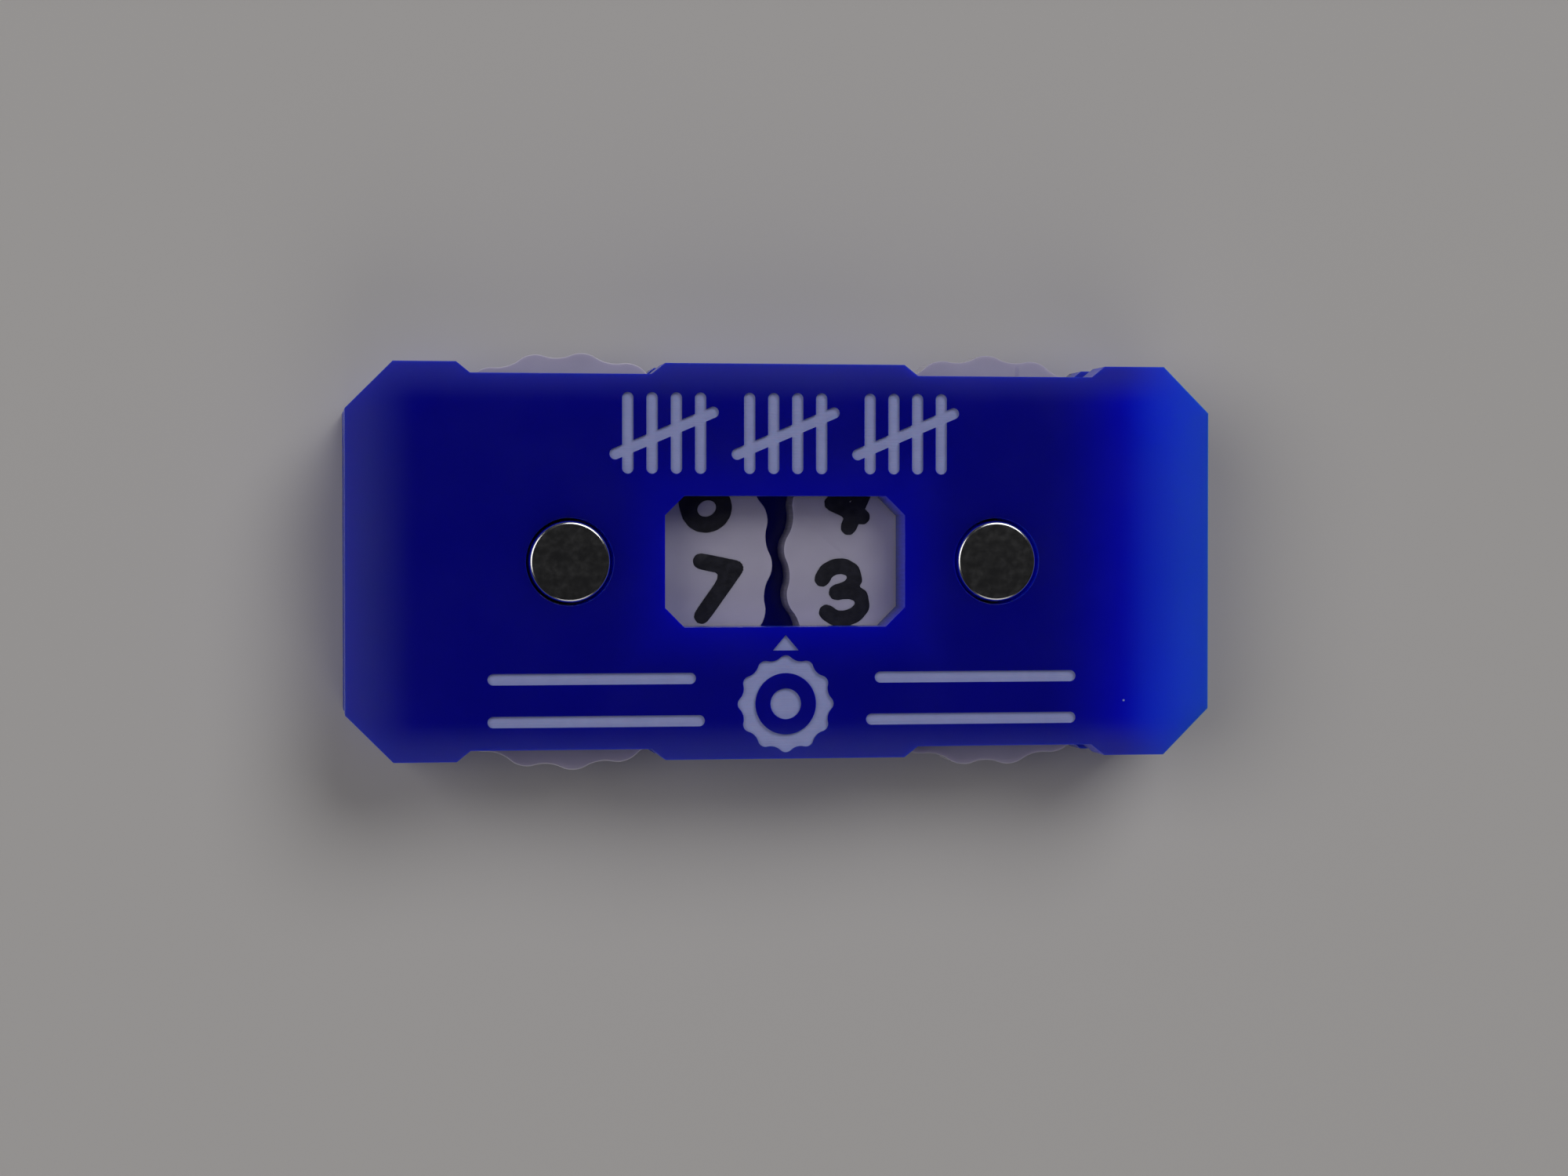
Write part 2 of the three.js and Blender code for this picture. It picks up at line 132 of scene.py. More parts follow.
class Workbench:
    """Short names for the object and edit mode steps that shape every piece."""

    @staticmethod
    def only(obj: bpy.types.Object) -> bpy.types.Object:
        """Makes one object the only selected one, and active.

        Args:
            obj: the object.

        Returns:
            The same object.
        """
        bpy.ops.object.select_all(action="DESELECT")
        obj.select_set(True)
        bpy.context.view_layer.objects.active = obj
        return obj

    @staticmethod
    @contextmanager
    def editing(obj: bpy.types.Object) -> Iterator[None]:
        """Edit mode on one object, with nothing selected to begin with.

        Args:
            obj: the mesh object to edit.
        """
        Workbench.only(obj)
        bpy.ops.object.mode_set(mode="EDIT")
        bpy.ops.mesh.select_mode(type="VERT")
        bpy.ops.mesh.select_all(action="DESELECT")
        yield
        bpy.ops.object.mode_set(mode="OBJECT")

    @staticmethod
    def pick_verts(obj: bpy.types.Object, rule: Callable[[Vector], bool]) -> None:
        """Selects the vertices whose place meets a rule.

        Args:
            obj: the object in edit mode.
            rule: says of a place whether it is picked.
        """
        bpy.ops.mesh.select_mode(type="VERT")
        mesh = bmesh.from_edit_mesh(obj.data)
        for vert in mesh.verts:
            vert.select_set(rule(vert.co))
        mesh.select_flush_mode()
        bmesh.update_edit_mesh(obj.data)

    @staticmethod
    def pick_edges(obj: bpy.types.Object, rule: Callable[[Vector, Vector], bool]) -> None:
        """Selects the edges whose two ends meet a rule.

        Args:
            obj: the object in edit mode.
            rule: says of an edge's two ends whether it is picked.
        """
        bpy.ops.mesh.select_mode(type="EDGE")
        mesh = bmesh.from_edit_mesh(obj.data)
        for edge in mesh.edges:
            edge.select_set(rule(edge.verts[0].co, edge.verts[1].co))
        mesh.select_flush_mode()
        bmesh.update_edit_mesh(obj.data)

    @staticmethod
    def settle(obj: bpy.types.Object) -> None:
        """Moves an object's place, turn and scale into its mesh."""
        Workbench.only(obj)
        bpy.ops.object.transform_apply(location=True, rotation=True, scale=True)

    @staticmethod
    def block(name: str, low: Vector, high: Vector) -> bpy.types.Object:
        """A cube primitive sized to a box.

        Args:
            name: the object's name.
            low: the box's lowest corner.
            high: the box's highest corner.

        Returns:
            The new object.
        """
        bpy.ops.object.select_all(action="DESELECT")
        bpy.ops.mesh.primitive_cube_add(size=1, location=(low + high) / 2)
        obj = bpy.context.object
        obj.name = name
        obj.scale = high - low
        Workbench.settle(obj)
        return obj

    @staticmethod
    def drum(
        name: str, centre: Spot, radius: float, low: float, high: float, sides: int = 96,
        turn: float = 0.0,
    ) -> bpy.types.Object:
        """An upright cylinder primitive.

        Args:
            name: the object's name.
            centre: the axis's place in X and Y.
            radius: its radius.
            low: the height of its underside.
            high: the height of its top.
            sides: how many flat sides it has.
            turn: the angle of its first corner from +X, in radians.

        Returns:
            The new object.
        """
        bpy.ops.object.select_all(action="DESELECT")
        bpy.ops.mesh.primitive_cylinder_add(
            vertices=sides, radius=radius, depth=high - low,
            location=(*centre, (low + high) / 2), rotation=(0, 0, turn - math.pi / 2),
        )
        obj = bpy.context.object
        obj.name = name
        Workbench.settle(obj)
        return obj

    @staticmethod
    def upright(a: Vector, b: Vector) -> bool:
        """Whether an edge between two places is vertical."""
        return math.hypot(a.x - b.x, a.y - b.y) < MERGE < abs(a.z - b.z)

    @staticmethod
    def carve(
        obj: bpy.types.Object, cutter: bpy.types.Object, finish: bpy.types.Material
    ) -> None:
        """Cuts one solid out of another and uses it up.

        Args:
            obj: the solid that is cut.
            cutter: the solid that is taken away.
            finish: the material of the faces that the cut leaves.
        """
        cutter.data.materials.clear()
        cutter.data.materials.append(finish)
        cut = obj.modifiers.new("cut", "BOOLEAN")
        cut.operation = "DIFFERENCE"
        cut.solver = "MANIFOLD"
        cut.material_mode = "TRANSFER"
        cut.object = cutter
        Workbench.only(obj)
        bpy.ops.object.modifier_apply(modifier=cut.name)
        bpy.data.objects.remove(cutter)

    @staticmethod
    def round_edges(
        obj: bpy.types.Object, width: float, segments: int, sharpest: float = 32
    ) -> None:
        """Rounds every sharp edge a little.

        Args:
            obj: the solid.
            width: how far the rounding reaches from the edge.
            segments: how many faces go round each edge.
            sharpest: edges that turn less than this stay as they are, in degrees.
        """
        rounding = obj.modifiers.new("rounded edges", "BEVEL")
        rounding.width = width
        rounding.segments = segments
        rounding.limit_method = "ANGLE"
        rounding.angle_limit = math.radians(sharpest)
        Workbench.only(obj)
        bpy.ops.object.modifier_apply(modifier=rounding.name)

    @staticmethod
    def clean(obj: bpy.types.Object) -> None:
        """Closes up edges and faces that have next to no size, which rounding can't pass.

        Args:
            obj: the solid.
        """
        with Workbench.editing(obj):
            bpy.ops.mesh.select_all(action="SELECT")
            bpy.ops.mesh.dissolve_degenerate(threshold=SLIVER)

    @staticmethod
    def smooth(obj: bpy.types.Object, angle: float = 40) -> None:
        """Shades gentle edges smooth and keeps the flat faces flat.

        Args:
            obj: the finished solid.
            angle: the sharpest edge that is shaded smooth, in degrees.
        """
        Workbench.only(obj)
        bpy.ops.object.shade_smooth_by_angle(angle=math.radians(angle))
        flat = obj.modifiers.new("flat faces", "WEIGHTED_NORMAL")
        flat.keep_sharp = True
        bpy.ops.object.modifier_apply(modifier=flat.name)

    @staticmethod
    def dress_walls(obj: bpy.types.Object, wall: bpy.types.Material) -> None:
        """Gives every upright or rounded face a material of its own.

        Args:
            obj: a solid with one material so far.
            wall: the material of its upright and rounded faces.
        """
        obj.data.materials.append(wall)
        index = len(obj.data.materials) - 1
        for face in obj.data.polygons:
            if abs(face.normal.z) < WALL_TILT:
                face.material_index = index


class Finish:
    """A node board for one procedural material that reads Object coordinates."""

    def __init__(self, name: str) -> None:
        """Starts a material with a bare Principled shader.

        Args:
            name: the material's name.
        """
        self.material = bpy.data.materials.new(name)
        self.material.use_nodes = True
        self.nodes = self.material.node_tree.nodes
        self.links = self.material.node_tree.links
        self.shader = self.nodes["Principled BSDF"]
        self.coords = self.nodes.new("ShaderNodeTexCoord").outputs["Object"]

    def set(self, **values: object) -> None:
        """Sets sockets of the shader that are the same all over; underscores are spaces."""
        for name, value in values.items():
            self.shader.inputs[name.replace("_", " ")].default_value = value

    def wire(self, source: bpy.types.NodeSocket, target: str) -> None:
        """Joins a node's output to a socket of the shader."""
        self.links.new(source, self.shader.inputs[target])

    def stretched(self, scale: Sequence[float]) -> bpy.types.NodeSocket:
        """Object coordinates scaled along each axis.

        Args:
            scale: the factor along X, Y and Z.

        Returns:
            The scaled coordinates.
        """
        mapping = self.nodes.new("ShaderNodeMapping")
        mapping.inputs["Scale"].default_value = scale
        self.links.new(self.coords, mapping.inputs["Vector"])
        return mapping.outputs["Vector"]

    def noise(
        self, size: float, detail: float = 3, stretch: Sequence[float] = (1, 1, 1)
    ) -> bpy.types.NodeSocket:
        """A soft noise from 0 to 1.

        Args:
            size: the width of its blotches in metres.
            detail: how many finer layers it has.
            stretch: how much quicker it changes along each axis.

        Returns:
            The noise value.
        """
        noise = self.nodes.new("ShaderNodeTexNoise")
        noise.inputs["Scale"].default_value = 1 / size
        noise.inputs["Detail"].default_value = detail
        self.links.new(self.stretched(stretch), noise.inputs["Vector"])
        return noise.outputs["Fac"]

    def remap(
        self, value: bpy.types.NodeSocket, low: float, high: float, out_low: float,
        out_high: float, smooth: bool = False,
    ) -> bpy.types.NodeSocket:
        """A value carried from one range to another, held at its ends.

        Args:
            value: the value to carry.
            low: where the first range starts.
            high: where it ends.
            out_low: the result at low.
            out_high: the result at high.
            smooth: whether the ends ease in and out.

        Returns:
            The new value.
        """
        ramp = self.nodes.new("ShaderNodeMapRange")
        ramp.interpolation_type = "SMOOTHSTEP" if smooth else "LINEAR"
        self.links.new(value, ramp.inputs["Value"])
        for name, number in (
            ("From Min", low), ("From Max", high), ("To Min", out_low), ("To Max", out_high),
        ):
            ramp.inputs[name].default_value = number
        return ramp.outputs["Result"]

    def sums(
        self, operation: str, first: bpy.types.NodeSocket, second: object = None
    ) -> bpy.types.NodeSocket:
        """One Math node.

        Args:
            operation: the Math node's operation.
            first: the first value.
            second: the second value, a socket or a number, if it takes one.

        Returns:
            The result.
        """
        node = self.nodes.new("ShaderNodeMath")
        node.operation = operation
        self.links.new(first, node.inputs[0])
        if isinstance(second, (int, float)):
            node.inputs[1].default_value = second
        elif second is not None:
            self.links.new(second, node.inputs[1])
        return node.outputs[0]

    def mix(
        self, share: bpy.types.NodeSocket, first: object, second: object
    ) -> bpy.types.NodeSocket:
        """Two colours mixed.

        Args:
            share: how much of the second colour there is.
            first: a colour or a socket.
            second: a colour or a socket.

        Returns:
            The mixed colour.
        """
        node = self.nodes.new("ShaderNodeMix")
        node.data_type = "RGBA"
        self.links.new(share, node.inputs["Factor"])
        for name, colour in (("A", first), ("B", second)):
            socket = [s for s in node.inputs if s.name == name and s.type == "RGBA"][0]
            if isinstance(colour, tuple):
                socket.default_value = (*colour, 1)
            else:
                self.links.new(colour, socket)
        return [s for s in node.outputs if s.type == "RGBA"][0]

    def axis(self, name: str) -> bpy.types.NodeSocket:
        """One of the object coordinates.

        Args:
            name: X, Y or Z.

        Returns:
            Its value.
        """
        split = self.nodes.new("ShaderNodeSeparateXYZ")
        self.links.new(self.coords, split.inputs[0])
        return split.outputs[name]

    def specks(self, cell: float, size: float, share: float) -> bpy.types.NodeSocket:
        """Scattered dust specks, 1 on a speck and 0 elsewhere.

        Args:
            cell: about how far apart specks could be.
            size: a speck's radius.
            share: the share of the possible places that hold a speck.

        Returns:
            The mask.
        """
        cells = self.nodes.new("ShaderNodeTexVoronoi")
        cells.inputs["Scale"].default_value = 1 / cell
        self.links.new(self.coords, cells.inputs["Vector"])
        near = self.remap(cells.outputs["Distance"], size / cell, 0.5 * size / cell, 0, 1)
        split = self.nodes.new("ShaderNodeSeparateColor")
        self.links.new(cells.outputs["Color"], split.inputs[0])
        kept = self.sums("LESS_THAN", split.outputs[0], share)
        return self.sums("MULTIPLY", near, kept)

    def bump(self, height: bpy.types.NodeSocket, depth: float) -> None:
        """Raises the surface by a height value.

        Args:
            height: the height from 0 to 1.
            depth: the height in metres at 1.
        """
        node = self.nodes.new("ShaderNodeBump")
        node.inputs["Strength"].default_value = 1.0
        node.inputs["Distance"].default_value = depth
        self.links.new(height, node.inputs["Height"])
        self.wire(node.outputs["Normal"], "Normal")


@dataclass(frozen=True)
class BlueAcrylic:
    """Deep blue cast sheet that scatters light inside it, with painted glow towards its right end
    and around the window, painted reflection along its long sides and at its left end, and cut
    walls painted brighter as painted edge glow.
    """

    core: Colour = (0.001, 0.001, 0.25)
    # Painted glow: a brighter blue that stands in for light carried in from the cut edges,
    # towards the right end and around the window.
    glow: Colour = (0.001, 0.003, 0.85)
    # Painted glow at the right end: the brightest blue, strongest at the end wall.
    rim: Colour = (0.016, 0.075, 1.0)
    # Painted reflection: a paler, greyer blue along the long sides and at the left end.
    haze: Colour = (0.030, 0.037, 0.28)
    half_length: float = 27 * MM
    half_width: float = 12.2 * MM
    # How far the painted glow and the painted reflection reach from the ends, the long sides and
    # the window.
    right_reach: float = 11 * MM
    rim_reach: float = 6 * MM
    left_reach: float = 4.5 * MM
    side_reach: float = 2.6 * MM
    side_share: float = 0.85
    window_half_length: float = 7.5 * MM
    window_half_width: float = 4.05 * MM
    window_reach: float = 3.6 * MM
    window_share: float = 0.16
    scatter: float = 12 * MM
    dust: Colour = (0.42, 0.44, 0.62)
    dust_cell: float = 3 * MM
    dust_size: float = 0.09 * MM
    dust_share: float = 0.2
    smear: float = 5 * MM
    gloss: Span = (0.16, 0.23)
    ripple: float = 1.6 * MM
    ripple_depth: float = 0.0007 * MM
    # Painted edge glow: the cut walls are painted a brighter blue than the face; the laser ribs
    # vary it between these two.
    wall_dark: Colour = (0.008, 0.02, 0.55)
    wall_bright: Colour = (0.014, 0.035, 0.75)
    wall_gloss: Span = (0.14, 0.26)
    rib: float = 0.16 * MM
    rib_stretch: Place = (1, 1, 0.06)
    rib_depth: float = 0.012 * MM

    def scattering(self, board: Finish) -> None:
        """Lets light wander through the sheet, blue furthest.

        Args:
            board: the node board that is set.
        """
        board.set(
            Subsurface_Weight=1.0, Subsurface_Radius=(0.03, 0.08, 1.0),
            Subsurface_Scale=self.scatter, IOR=1.49,
        )

    def build(self) -> bpy.types.Material:
        """The sheet's face: dark in the middle, with painted glow towards the right end and
        around the window and painted reflection along the long sides and at the left end.

        Returns:
            The material.
        """
        board = Finish("blue_acrylic_face")
        self.scattering(board)
        x = board.axis("X")
        across, along = board.sums("ABSOLUTE", x), board.sums("ABSOLUTE", board.axis("Y"))
        end = self.half_length
        # Mask of the painted glow towards the right end.
        right = board.remap(x, end - self.right_reach, end, 0, 1, smooth=True)
        # Mask of the painted reflection along the long sides.
        side = board.remap(
            along, self.half_width - self.side_reach, self.half_width, 0, self.side_share,
            smooth=True,
        )
        # Mask of the painted glow around the window.
        from_window = board.sums(
            "MAXIMUM", board.sums("SUBTRACT", across, self.window_half_length),
            board.sums("SUBTRACT", along, self.window_half_width),
        )
        window = board.remap(
            from_window, 0, self.window_reach, self.window_share, 0, smooth=True
        )
        # Painted glow: the dark core brightens towards the right end and around the window.
        sheet = board.mix(board.sums("MAXIMUM", right, window), self.core, self.glow)
        # Painted reflection along the long sides.
        sheet = board.mix(side, sheet, self.haze)
        # Painted glow at the right end, in the brightest blue.
        sheet = board.mix(
            board.remap(x, end - self.rim_reach, end, 0, 1, smooth=True), sheet, self.rim
        )
        # Painted reflection at the left end.
        sheet = board.mix(
            board.remap(x, -end, self.left_reach - end, 1, 0, smooth=True), sheet, self.haze
        )
        dust = board.specks(self.dust_cell, self.dust_size, self.dust_share)
        board.wire(board.mix(dust, sheet, self.dust), "Base Color")
        smear = board.noise(self.smear, 3)
        board.wire(board.remap(smear, 0.3, 0.75, *self.gloss), "Roughness")
        board.bump(board.noise(self.ripple, 2), self.ripple_depth)
        return board.material

    def build_wall(self) -> bpy.types.Material:
        """The laser-cut wall of the sheet: finely ribbed by the laser, and painted a brighter
        blue than its face as painted edge glow.

        Returns:
            The material.
        """
        board = Finish("blue_acrylic_cut_edge")
        self.scattering(board)
        board.set(Specular_IOR_Level=0.2)
        ribs = board.noise(self.rib, 2, self.rib_stretch)
        # Painted edge glow, varied by the real laser ribs.
        board.wire(board.mix(ribs, self.wall_dark, self.wall_bright), "Base Color")
        board.wire(board.remap(ribs, 0.3, 0.7, *self.wall_gloss), "Roughness")
        board.bump(ribs, self.rib_depth)
        return board.material


@dataclass(frozen=True)
class Engraving:
    """Laser-frosted marks: pale, matt and finely lined by the passes of the beam."""

    pale: Colour = (0.30, 0.33, 0.58)
    deep: Colour = (0.23, 0.255, 0.50)
    line_pitch: float = 0.09 * MM
    line_stretch: Place = (0.03, 1, 1)
    line_depth: float = 0.02 * MM
    mottle: float = 0.7 * MM
    gloss: Span = (0.7, 0.9)
    scatter: float = 0.4 * MM

    def build(self) -> bpy.types.Material:
        """The frosted floor of the marks.

        Returns:
            The material.
        """
        board = Finish("laser_frosted_marks")
        board.set(IOR=1.49, Subsurface_Weight=0.2, Subsurface_Scale=self.scatter)
        passes = board.noise(self.line_pitch, 1, self.line_stretch)
        mottle = board.noise(self.mottle, 3)
        board.wire(board.mix(mottle, self.deep, self.pale), "Base Color")
        board.wire(board.remap(mottle, 0.2, 0.8, *self.gloss), "Roughness")
        board.bump(passes, self.line_depth)
        return board.material


@dataclass(frozen=True)
class OpalAcrylic:
    """Milky white sheet, a little lilac, that lets light soak in."""

    milk: Colour = (0.42, 0.395, 0.48)
    shade: Colour = (0.36, 0.34, 0.42)
    rim: Colour = (0.60, 0.58, 0.64)
    smudge: Colour = (0.42, 0.39, 0.48)
    smudge_size: float = 0.8 * MM
    smudge_share: float = 0.18
    cloud: float = 3.0 * MM
    scatter: float = 0.9 * MM
    sheen: float = 1.2 * MM
    gloss: Span = (0.28, 0.45)
    grain: float = 0.5 * MM
    grain_depth: float = 0.004 * MM
    wall_scatter: float = 1.2 * MM
    wall_gloss: Span = (0.1, 0.22)
    rib: float = 0.14 * MM
    rib_stretch: Place = (1, 1, 0.05)
    rib_depth: float = 0.012 * MM

    def build(self) -> bpy.types.Material:
        """The dial's face.

        Returns:
            The material.
        """
        board = Finish("opal_acrylic_face")
        board.set(
            Subsurface_Weight=0.6, Subsurface_Radius=(1.0, 0.85, 0.95),
            Subsurface_Scale=self.scatter, IOR=1.49,
        )
        cloud = board.noise(self.cloud, 3)
        milk = board.mix(cloud, self.shade, self.milk)
        handled = board.noise(self.smudge_size, 5)
        smudge = board.remap(handled, 0.58, 0.78, 0, self.smudge_share)
        board.wire(board.mix(smudge, milk, self.smudge), "Base Color")
        sheen = board.noise(self.sheen, 4)
        board.wire(board.remap(sheen, 0.3, 0.7, *self.gloss), "Roughness")
        board.bump(board.noise(self.grain, 3), self.grain_depth)
        return board.material

    def build_wall(self) -> bpy.types.Material:
        """The lobed rim and the bore, ribbed and glossy from the laser.

        Returns:
            The material.
        """
        board = Finish("opal_acrylic_cut_edge")
        board.set(
            Subsurface_Weight=0.7, Subsurface_Radius=(1.0, 0.9, 0.95),
            Subsurface_Scale=self.wall_scatter, IOR=1.49, Coat_Weight=0.5, Coat_Roughness=0.05,
        )
        ribs = board.noise(self.rib, 2, self.rib_stretch)
        board.wire(board.mix(ribs, self.milk, self.rim), "Base Color")
        board.wire(board.remap(ribs, 0.3, 0.7, *self.wall_gloss), "Roughness")
        board.bump(ribs, self.rib_depth)
        return board.material


@dataclass(frozen=True)
class BlackEnamel:
    """Paint wiped into the engraved numbers, dull and a little uneven."""

    paint: Colour = (0.004, 0.004, 0.008)
    thin: Colour = (0.011, 0.011, 0.017)
    streak: float = 0.5 * MM
    gloss: Span = (0.42, 0.65)
    pit: float = 0.22 * MM
    pit_depth: float = 0.012 * MM

    def build(self) -> bpy.types.Material:
        """The paint.

        Returns:
            The material.
        """
        board = Finish("black_enamel_fill")
        board.set(IOR=1.5, Specular_IOR_Level=0.22)
        wiped = board.noise(self.streak, 4)
        worn_thin = board.remap(wiped, 0.45, 0.75, 0, 1)
        board.wire(board.mix(worn_thin, self.paint, self.thin), "Base Color")
        board.wire(board.remap(wiped, 0.3, 0.7, *self.gloss), "Roughness")
        board.bump(board.noise(self.pit, 3), self.pit_depth)
        return board.material


@dataclass(frozen=True)
class NickelPlate:
    """Bright nickel plating with handling marks."""

    bright: Colour = (0.62, 0.61, 0.60)
    dull: Colour = (0.44, 0.44, 0.46)
    blotch: float = 0.9 * MM
    gloss: Span = (0.15, 0.19)
    dimple: float = 0.45 * MM
    dimple_depth: float = 0.0014 * MM

    def build(self) -> bpy.types.Material:
        """The plating.

        Returns:
            The material.
        """
        board = Finish("nickel_plate")
        board.set(Metallic=1.0)
        blotch = board.noise(self.blotch, 5)
        dimples = board.noise(self.dimple, 3)
        board.wire(board.mix(blotch, self.dull, self.bright), "Base Color")
        worn = board.sums("MULTIPLY", blotch, dimples)
        board.wire(board.remap(worn, 0.15, 0.40, *self.gloss), "Roughness")
        board.bump(dimples, self.dimple_depth)
        return board.material


@dataclass
class Palette:
    """Every finish of the counter, built once and shared."""

    blue: bpy.types.Material = field(init=False)
    blue_wall: bpy.types.Material = field(init=False)
    marks: bpy.types.Material = field(init=False)
    opal: bpy.types.Material = field(init=False)
    opal_wall: bpy.types.Material = field(init=False)
    enamel: bpy.types.Material = field(init=False)
    nickel: bpy.types.Material = field(init=False)

    def __post_init__(self) -> None:
        """Builds each material."""
        sheet, milky = BlueAcrylic(), OpalAcrylic()
        self.blue, self.blue_wall = sheet.build(), sheet.build_wall()
        self.marks = Engraving().build()
        self.opal, self.opal_wall = milky.build(), milky.build_wall()
        self.enamel = BlackEnamel().build()
        self.nickel = NickelPlate().build()


def hand_over(piece: bpy.types.Object, body: str, slot: Slot, *nodes: str) -> None:
    """Puts a finished piece on its body in place of its CAD nodes, and reports it.

    Args:
        piece: the finished piece.
        body: the body it rides on.
        slot: the record's slot; not used.
        nodes: the CAD nodes that it stands for.
    """
    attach(piece, body)
    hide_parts(*nodes)
    log.info("%s: %d faces, stands for %s", piece.name, len(piece.data.polygons), nodes)


def axis_of(side: Side) -> Vector:
    """The middle of a dial's axle magnet, in the frame."""
    low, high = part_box(f"{side.label}_{Layer.AXLE.value}_magnet")
    return (low + high) / 2


@dataclass
class MarkCutter:
    """Cutters for the engraved marks on the top plate."""

    top: float
    width: float = 0.7 * MM
    depth: float = 0.2 * MM
    reach: float = 1 * MM
    sides: int = 24

    def stroke(self, start: Spot, end: Spot) -> bpy.types.Object:
        """A round-ended stroke: a drum pulled apart along its line.

        Args:
            start: one end of the stroke, round end included.
            end: the other end.

        Returns:
            The cutter.
        """
        run = Vector(end) - Vector(start)
        pull = max(run.length - self.width, 0) / 2
        low, high = self.top - self.depth, self.top + self.reach
        half_side = math.pi / self.sides
        obj = Workbench.drum(
            "stroke_cutter", (0, 0), self.width / 2, low, high, self.sides, half_side
        )
        with Workbench.editing(obj):
            for sign in (-1, 1):
                Workbench.pick_verts(obj, lambda place, sign=sign: place.x * sign > 0)
                bpy.ops.transform.translate(value=(sign * pull, 0, 0))
        middle = (Vector(start) + Vector(end)) / 2
        obj.rotation_euler.z = math.atan2(run.y, run.x)
        obj.location = (middle.x, middle.y, 0)
        Workbench.settle(obj)
        return obj


@dataclass
class Plate:
    """One of the two blue plates: its shared outline, magnet holes and rounded edges."""

    node: str
    piece_name: str
    palette: Palette
    corner_cut: float = 2.9 * MM
    notch_mouth: float = 12.8 * MM
    notch_slope: float = 0.85 * MM
    notch_depth: float = 0.68 * MM
    notch_offset: float = 0.53 * MM
    seat_clearance: float = 0.2 * MM
    edge_round: float = 0.11 * MM
    edge_segments: int = 3
    overrun: float = 1 * MM

    def __post_init__(self) -> None:
        """Reads the plate's box from the frame."""
        self.low, self.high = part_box(self.node)

    def notch_cutter(self, side: Side, edge: int) -> bpy.types.Object:
        """The slanted block that cuts one thumb notch.

        Args:
            side: the dial that the notch uncovers.
            edge: 1 at the back and -1 at the front.

        Returns:
            The cutter.
        """
        x = axis_of(side).x + side.sign * self.notch_offset
        floor = self.high.y - self.notch_depth
        outside = self.high.y + self.notch_depth
        outer_half = self.notch_mouth / 2 + self.notch_slope
        ys = sorted((edge * floor, edge * outside))
        obj = Workbench.block(
            "notch_cutter",
            Vector((x - outer_half, ys[0], self.low.z - self.overrun)),
            Vector((x + outer_half, ys[1], self.high.z + self.overrun)),
        )
        inner_half = self.notch_mouth / 2 - self.notch_slope
        with Workbench.editing(obj):
            Workbench.pick_verts(obj, lambda place: abs(place.y - edge * floor) < MERGE)
            bpy.ops.transform.resize(
                value=(inner_half / outer_half, 1, 1), center_override=(x, 0, 0)
            )
        return obj

    def blank(self) -> bpy.types.Object:
        """The plate with its corners, notches and magnet holes, edges still sharp.

        Returns:
            The plate so far.
        """
        obj = Workbench.block(self.piece_name, self.low, self.high)
        obj.data.materials.append(self.palette.blue)
        with Workbench.editing(obj):
            Workbench.pick_edges(obj, Workbench.upright)
            bpy.ops.mesh.bevel(offset=self.corner_cut, segments=1, affect="EDGES")
        for side in Side:
            for edge in (-1, 1):
                Workbench.carve(obj, self.notch_cutter(side, edge), self.palette.blue)
            low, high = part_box(f"{side.label}_{Layer.TOP.value}_magnet")
            radius = (high.x - low.x) / 2 + self.seat_clearance
            centre = axis_of(side)
            hole = Workbench.drum(
                "hole_cutter", (centre.x, centre.y), radius,
                self.low.z - self.overrun, self.high.z + self.overrun,
            )
            Workbench.carve(obj, hole, self.palette.blue)
        return obj

    def details(self, obj: bpy.types.Object) -> None:
        """Cuts that only some plates have, made before the edges are rounded."""

    def marks(self, obj: bpy.types.Object) -> None:
        """Engraving that only some plates have, cut into the rounded plate."""

    def build(self) -> bpy.types.Object:
        """Models the plate and hands it over.

        Returns:
            The finished piece.
        """
        obj = self.blank()
        self.details(obj)
        Workbench.round_edges(obj, self.edge_round, self.edge_segments)
        Workbench.dress_walls(obj, self.palette.blue_wall)
        self.marks(obj)
        Workbench.smooth(obj)
        hand_over(obj, "case", Slot.BLUE, self.node)
        return obj


